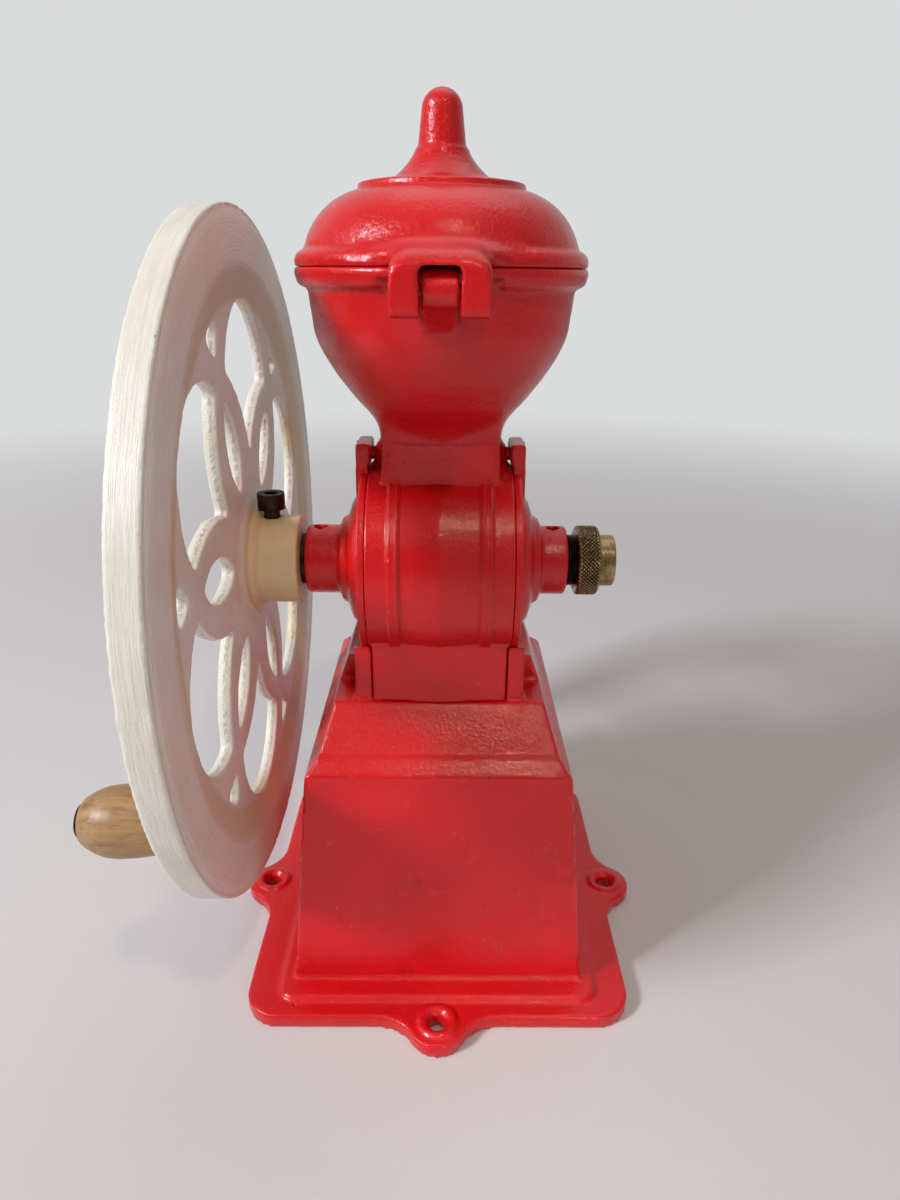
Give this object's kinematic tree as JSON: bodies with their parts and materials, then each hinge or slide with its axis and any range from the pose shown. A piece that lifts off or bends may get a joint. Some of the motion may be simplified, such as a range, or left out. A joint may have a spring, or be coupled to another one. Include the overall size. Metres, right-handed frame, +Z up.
{
  "type": "hand cranked coffee grinder",
  "caption": "Manual coffee grinder with a side flywheel crank, a hinged hopper lid, a burr adjuster nut and a drawer for the grounds.",
  "frame": {"origin": "under the crank shaft, at the centre between the two side bolt holes, on the base's underside", "axes": "+Z up, +X toward the grind adjuster (the flywheel is on -X), -Y toward the lid hinge, +Y toward the drawer"},
  "size_m": [0.1986, 0.25, 0.3223],
  "materials": {
    "red_paint": "satin gloss enamel on cast iron",
    "red_paint_trim": "satin gloss enamel on steel",
    "cream_paint": "brushed satin enamel on cast iron",
    "dark_steel": "dark oxide",
    "shaft_steel": "turned steel, dull",
    "bush_bronze": "turned bronze",
    "brass": "turned and knurled, worn",
    "burr_iron": "bare ground casting",
    "spring_steel": "drawn wire",
    "handle_wood": "turned beech, oiled",
    "drawer_wood": "plain planed beech",
    "front_wood": "oiled beech",
    "knob_brass": "turned, satin",
    "knob_screw_steel": "zinc plated"
  },
  "bodies": {
    "frame": {"base_flange": "red_paint", "base_skirt": "red_paint", "base_shoulder": "red_paint", "hopper_body": "red_paint", "left_end_cover": "red_paint", "right_end_cover": "red_paint", "cover_screws": "red_paint_trim", "foot_pins": "red_paint_trim", "lid_hinge_pin": "red_paint_trim", "left_bush": "bush_bronze", "adjuster_stub": "dark_steel", "fixed_burr": "burr_iron", "fixed_burr_screws": "shaft_steel", "thrust_spring": "spring_steel"},
    "thrust": {"thrust_washer": "shaft_steel"},
    "adjuster": {"adjuster_nut": "brass"},
    "rotor": {"main_shaft": "shaft_steel", "rotating_burr": "burr_iron", "burr_key": "shaft_steel", "flywheel": "cream_paint", "hub_set_screw": "dark_steel", "hub_spacer": "dark_steel", "handle_spindle": "dark_steel"},
    "grip": {"handle_grip": "handle_wood"},
    "lid": {"lid": "red_paint"},
    "drawer": {"drawer_tray": "drawer_wood", "drawer_front": "front_wood", "drawer_knob": "knob_brass", "drawer_knob_screw": "knob_screw_steel"}
  },
  "joints": [
    {"name": "burr_gap", "type": "slide", "parent": "frame", "child": "thrust", "axis": [1, 0, 0], "range_m": [-0.00025, 0.00025]},
    {"name": "adjuster_turn", "type": "hinge", "parent": "thrust", "child": "adjuster", "pos_m": [0.056, 0, 0.1635], "axis": [1, 0, 0], "range_deg": [-90, 90]},
    {"name": "wheel_spin", "type": "hinge", "parent": "thrust", "child": "rotor", "pos_m": [-0.0747, 0, 0.1635], "axis": [1, 0, 0], "continuous": true},
    {"name": "handle_spin", "type": "hinge", "parent": "rotor", "child": "grip", "pos_m": [-0.095, -0.09099, 0.10796], "axis": [1, 0, 0], "continuous": true},
    {"name": "lid_hinge", "type": "hinge", "parent": "frame", "child": "lid", "pos_m": [0, -0.0545, 0.2625], "axis": [1, 0, 0], "range_deg": [0, 110]},
    {"name": "drawer_slide", "type": "slide", "parent": "frame", "child": "drawer", "axis": [0, 1, 0], "range_m": [0, 0.09]}
  ],
  "couplings": [
    {"joint": "adjuster_turn", "follows": "burr_gap", "rad_per_m": 6283.2}
  ]
}
